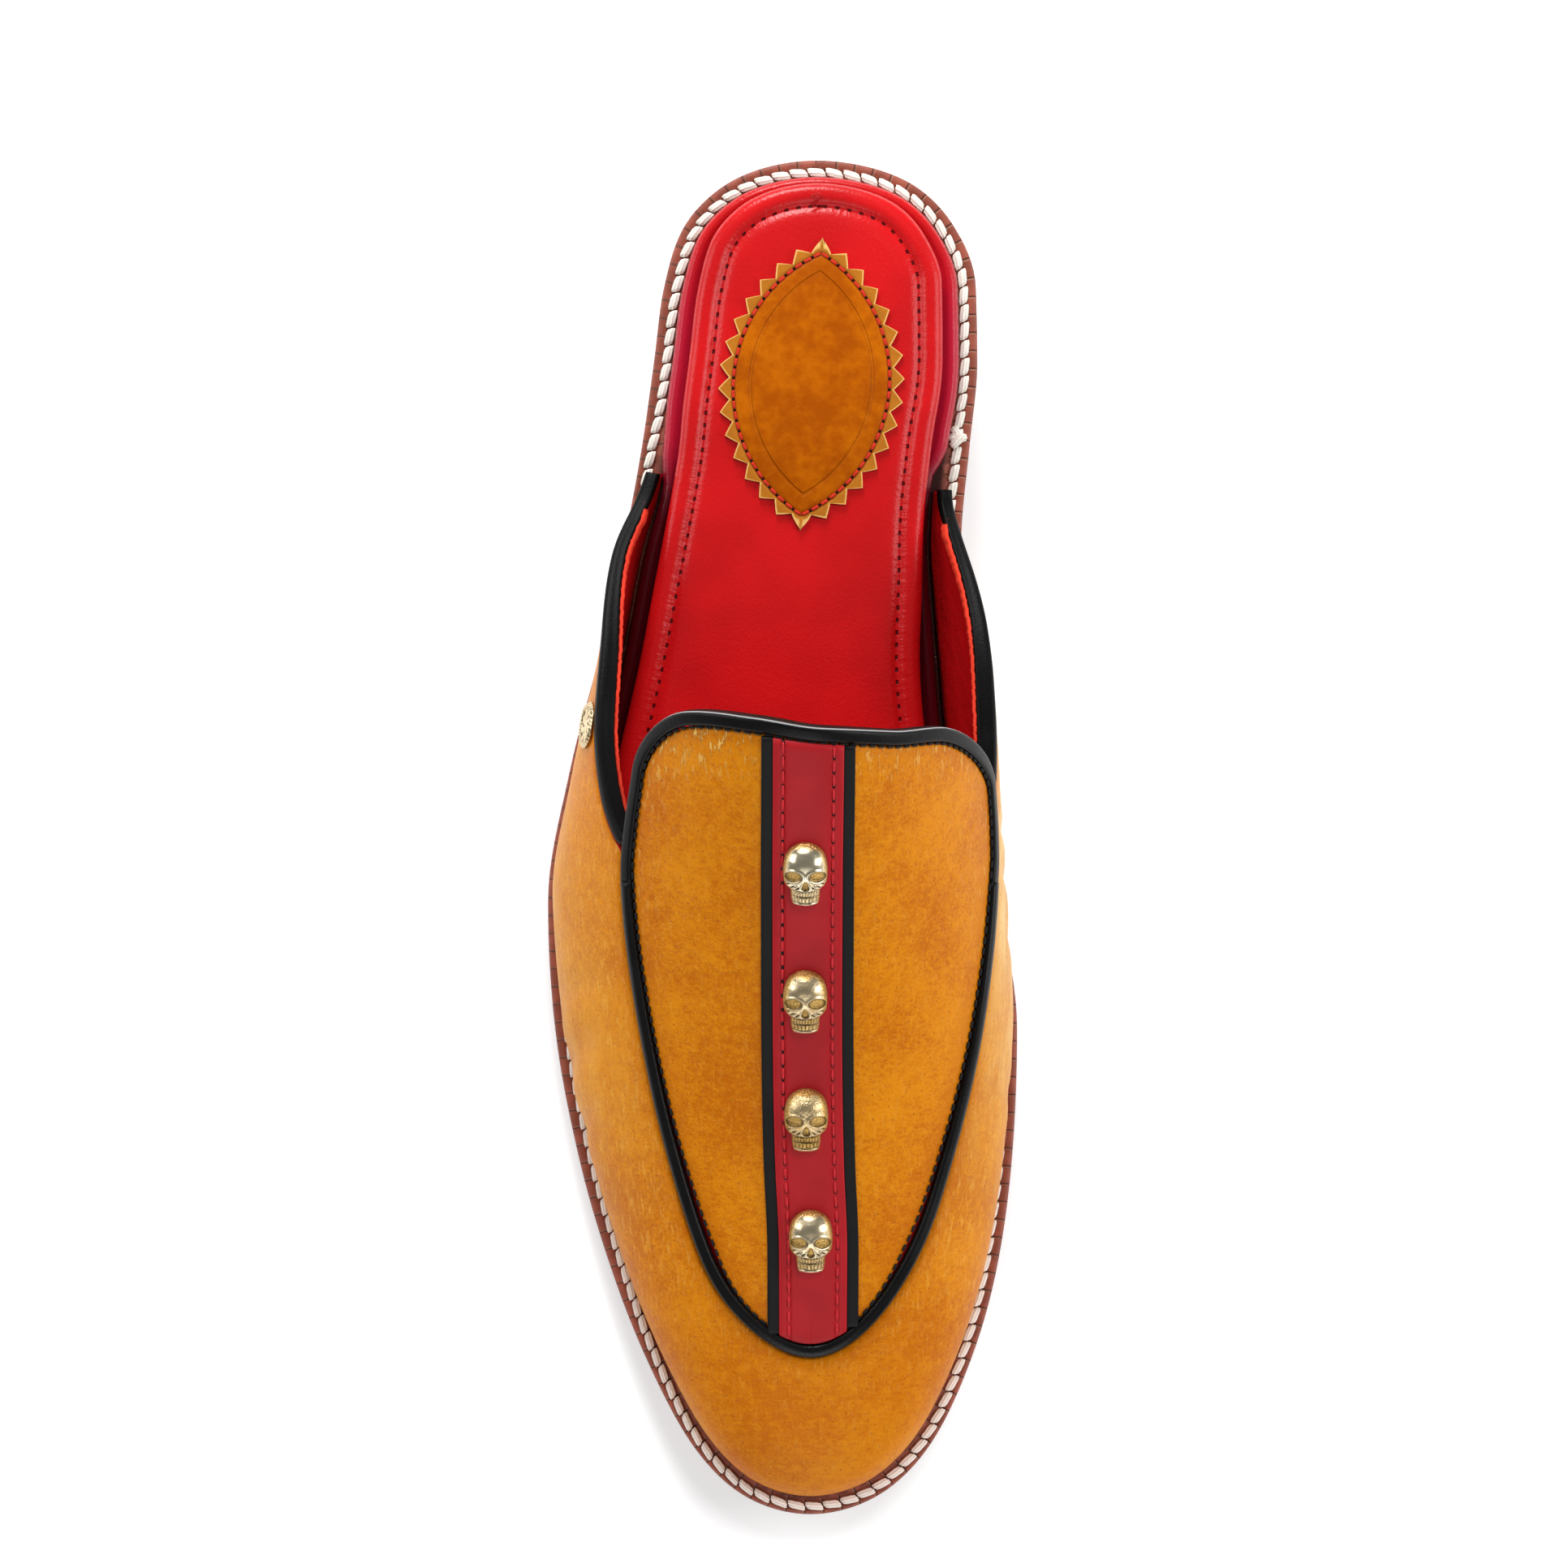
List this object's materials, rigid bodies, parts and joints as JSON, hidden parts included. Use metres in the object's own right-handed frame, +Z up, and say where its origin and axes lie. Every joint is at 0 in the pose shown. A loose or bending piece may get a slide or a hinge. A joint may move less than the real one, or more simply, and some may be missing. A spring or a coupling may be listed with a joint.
{
  "type": "mule",
  "caption": "Right-foot loafer mule: open-heel leather shoe with apron front, raised tongue, studded centre strip, stitched welt and low heel.",
  "frame": {"origin": "on the floor, at the middle of the sole's bounding box", "axes": "+Y towards the heel and -Y towards the toe, +X to the medial side of this right shoe, +Z up"},
  "size_m": [0.1035, 0.298, 0.0902],
  "materials": {
    "mustard_leather": "burnished, fine grain, soft shine",
    "red_leather": "smooth, satin",
    "crimson_leather": "smooth, satin",
    "black_leather": "satin",
    "welt_leather": "waxed edge, cream stitching",
    "sole_leather": "waxed, satin",
    "pale_gold": "cast, polished on the high spots"
  },
  "bodies": {
    "root": {"outsole": "sole_leather", "heel": "sole_leather", "welt": "welt_leather", "footbed": "red_leather", "insole": "red_leather", "heel_patch": "mustard_leather", "upper": "mustard_leather", "apron_tongue": "mustard_leather", "apron_piping": "black_leather", "tongue_binding": "black_leather", "collar_binding_lateral": "black_leather", "collar_binding_medial": "black_leather", "centre_strip": "crimson_leather", "strip_piping_lateral": "black_leather", "strip_piping_medial": "black_leather", "skull_stud_1": "pale_gold", "skull_stud_2": "pale_gold", "skull_stud_3": "pale_gold", "skull_stud_4": "pale_gold", "side_rivet": "pale_gold"}
  },
  "joints": []
}
